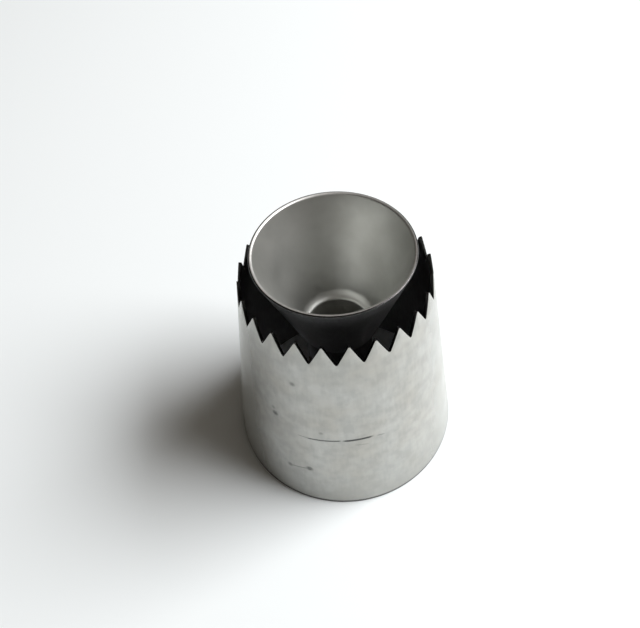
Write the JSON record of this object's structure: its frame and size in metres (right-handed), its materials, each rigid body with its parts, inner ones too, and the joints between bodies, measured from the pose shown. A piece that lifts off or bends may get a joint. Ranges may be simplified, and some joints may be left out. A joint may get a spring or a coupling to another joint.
{
  "type": "piping nozzle",
  "caption": "Stainless steel ring nozzle for a piping bag: a tapered shell with a toothed crown round a funnel-shaped core that stands above it on wire struts.",
  "frame": {"origin": "centre of the base, in the plane that the nozzle stands on", "axes": "+Z along the nozzle's axis, up to the toothed crown; -Y is the front, opposite the rear strut, with one notch on it"},
  "size_m": [0.05, 0.05, 0.055],
  "materials": {
    "satin_sheet": "satin drawn stainless steel sheet",
    "polished_sheet": "smooth half-bright stainless steel sheet",
    "drawn_wire": "bright drawn stainless steel wire",
    "weld_metal": "dull stainless steel weld metal"
  },
  "bodies": {
    "root": {"outer_shell": "satin_sheet", "inner_funnel": "polished_sheet", "rear_strut": "drawn_wire", "right_strut": "drawn_wire", "left_strut": "drawn_wire", "neck_welds": "weld_metal", "shell_welds": "weld_metal"}
  },
  "joints": []
}
